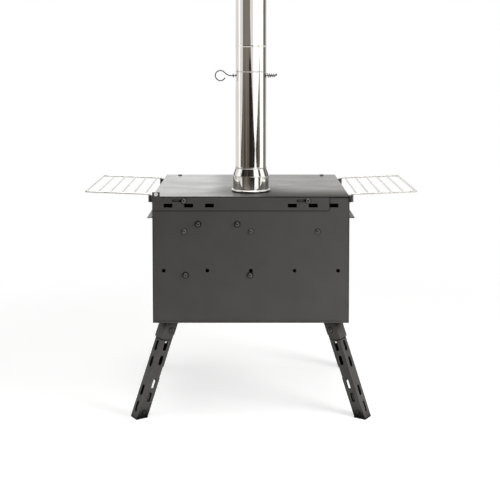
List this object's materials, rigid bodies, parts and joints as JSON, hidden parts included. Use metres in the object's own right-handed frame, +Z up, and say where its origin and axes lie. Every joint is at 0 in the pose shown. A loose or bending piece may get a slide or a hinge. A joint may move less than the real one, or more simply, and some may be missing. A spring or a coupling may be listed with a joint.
{
  "type": "tent wood stove",
  "caption": "Folding tent wood stove: a dark sheet-steel firebox on splayed slotted legs, with sliding air plates, wire side shelves and a polished flue pipe with a damper.",
  "frame": {"origin": "on the ground, under the middle of the firebox, midway between the feet", "axes": "+Z up, +Y towards the door, -Y towards the flue and the rear air plate, +X to the right seen from the rear"},
  "size_m": [0.656, 0.3682, 0.92],
  "materials": {
    "coated_steel": "satin heat-resistant coating",
    "cooktop_steel": "satin heat-resistant coating, worn by pots",
    "leg_steel": "satin heat-resistant coating",
    "bare_steel": "dull, heat-stained",
    "polished_steel": "mirror polished",
    "wire_steel": "bright",
    "fastener_steel": "darkened",
    "stove_glass": "smoked, clear"
  },
  "bodies": {
    "firebox": {"firebox_shell": "coated_steel", "rear_panel": "coated_steel", "front_panel": "coated_steel", "side_ledge_left": "coated_steel", "side_ledge_right": "coated_steel", "shelf_saddle_left_rear": "coated_steel", "shelf_saddle_left_front": "coated_steel", "shelf_saddle_right_rear": "coated_steel", "shelf_saddle_right_front": "coated_steel", "hinge_lower": "coated_steel", "hinge_upper": "coated_steel", "latch_keeper": "coated_steel", "cooktop": "cooktop_steel", "leg_bracket_rear_left": "leg_steel", "leg_bracket_rear_right": "leg_steel", "leg_bracket_front_right": "leg_steel", "leg_bracket_front_left": "leg_steel", "rear_liner": "bare_steel", "baffle_plate": "bare_steel", "flue_collar": "bare_steel", "rear_rivet_left": "fastener_steel", "rear_rivet_middle": "fastener_steel", "rear_rivet_right": "fastener_steel", "rear_stud_left": "fastener_steel", "rear_stud_middle": "fastener_steel", "baffle_stud_left": "fastener_steel", "baffle_stud_right": "fastener_steel", "rear_slider_screw_left": "fastener_steel", "rear_slider_screw_right": "fastener_steel", "front_slider_screw_left": "fastener_steel", "front_slider_screw_right": "fastener_steel", "leg_rivet_rear_left": "fastener_steel", "leg_rivet_rear_right": "fastener_steel", "leg_rivet_front_right": "fastener_steel", "leg_rivet_front_left": "fastener_steel"},
    "chimney": {"flue_pipe_lower": "polished_steel"},
    "chimney_top": {"flue_pipe_upper": "polished_steel"},
    "damper": {"damper_plate": "bare_steel", "damper_key": "wire_steel", "damper_washer": "fastener_steel", "damper_spring": "wire_steel"},
    "shelf_left": {"wire_shelf_left": "wire_steel"},
    "shelf_right": {"wire_shelf_right": "wire_steel"},
    "rear_slider": {"rear_air_slider": "coated_steel"},
    "front_slider": {"front_air_slider": "coated_steel"},
    "door": {"door_panel": "coated_steel", "door_glass": "stove_glass", "glass_retainer": "bare_steel", "latch_bolt": "fastener_steel"},
    "latch": {"latch_handle": "wire_steel"},
    "grate": {"fire_grate": "bare_steel"},
    "leg_rear_left": {"leg_rear_left": "leg_steel", "foot_rear_left": "leg_steel"},
    "leg_rear_right": {"leg_rear_right": "leg_steel", "foot_rear_right": "leg_steel"},
    "leg_front_right": {"leg_front_right": "leg_steel", "foot_front_right": "leg_steel"},
    "leg_front_left": {"leg_front_left": "leg_steel", "foot_front_left": "leg_steel"}
  },
  "joints": [
    {"name": "leg_rear_left_fold", "type": "hinge", "parent": "firebox", "child": "leg_rear_left", "pos_m": [-0.1683, -0.1225, 0.1705], "axis": [0.5299, -0.848, 0], "range_deg": [0, 110.5]},
    {"name": "leg_rear_right_fold", "type": "hinge", "parent": "firebox", "child": "leg_rear_right", "pos_m": [0.1683, -0.1225, 0.1705], "axis": [0.5299, 0.848, 0], "range_deg": [0, 110.5]},
    {"name": "leg_front_right_fold", "type": "hinge", "parent": "firebox", "child": "leg_front_right", "pos_m": [0.1683, 0.1225, 0.1705], "axis": [-0.5299, 0.848, 0], "range_deg": [0, 110.5]},
    {"name": "leg_front_left_fold", "type": "hinge", "parent": "firebox", "child": "leg_front_left", "pos_m": [-0.1683, 0.1225, 0.1705], "axis": [-0.5299, -0.848, 0], "range_deg": [0, 110.5]},
    {"name": "shelf_left_lift", "type": "slide", "parent": "firebox", "child": "shelf_left", "axis": [0, 0, 1], "range_m": [0, 0.03]},
    {"name": "shelf_right_lift", "type": "slide", "parent": "firebox", "child": "shelf_right", "axis": [0, 0, 1], "range_m": [0, 0.03]},
    {"name": "rear_air_slide", "type": "slide", "parent": "firebox", "child": "rear_slider", "axis": [1, 0, 0], "range_m": [0, 0.0204]},
    {"name": "front_air_slide", "type": "slide", "parent": "firebox", "child": "front_slider", "axis": [1, 0, 0], "range_m": [0, 0.0204]},
    {"name": "door_swing", "type": "hinge", "parent": "firebox", "child": "door", "pos_m": [-0.167, 0.182, 0.335], "axis": [0, 0, 1], "range_deg": [0, 110]},
    {"name": "latch_turn", "type": "hinge", "parent": "door", "child": "latch", "pos_m": [0.143, 0.179, 0.335], "axis": [0, 1, 0], "range_deg": [0, 42]},
    {"name": "chimney_lift", "type": "slide", "parent": "firebox", "child": "chimney", "axis": [0, 0, 1], "range_m": [0, 0.035]},
    {"name": "chimney_top_lift", "type": "slide", "parent": "chimney", "child": "chimney_top", "axis": [0, 0, 1], "range_m": [0, 0.055]},
    {"name": "damper_turn", "type": "hinge", "parent": "chimney", "child": "damper", "pos_m": [0, -0.095, 0.6835], "axis": [1, 0, 0], "range_deg": [-90, 90]},
    {"name": "grate_lift", "type": "slide", "parent": "firebox", "child": "grate", "axis": [0, 0, 1], "range_m": [0, 0.03]}
  ]
}
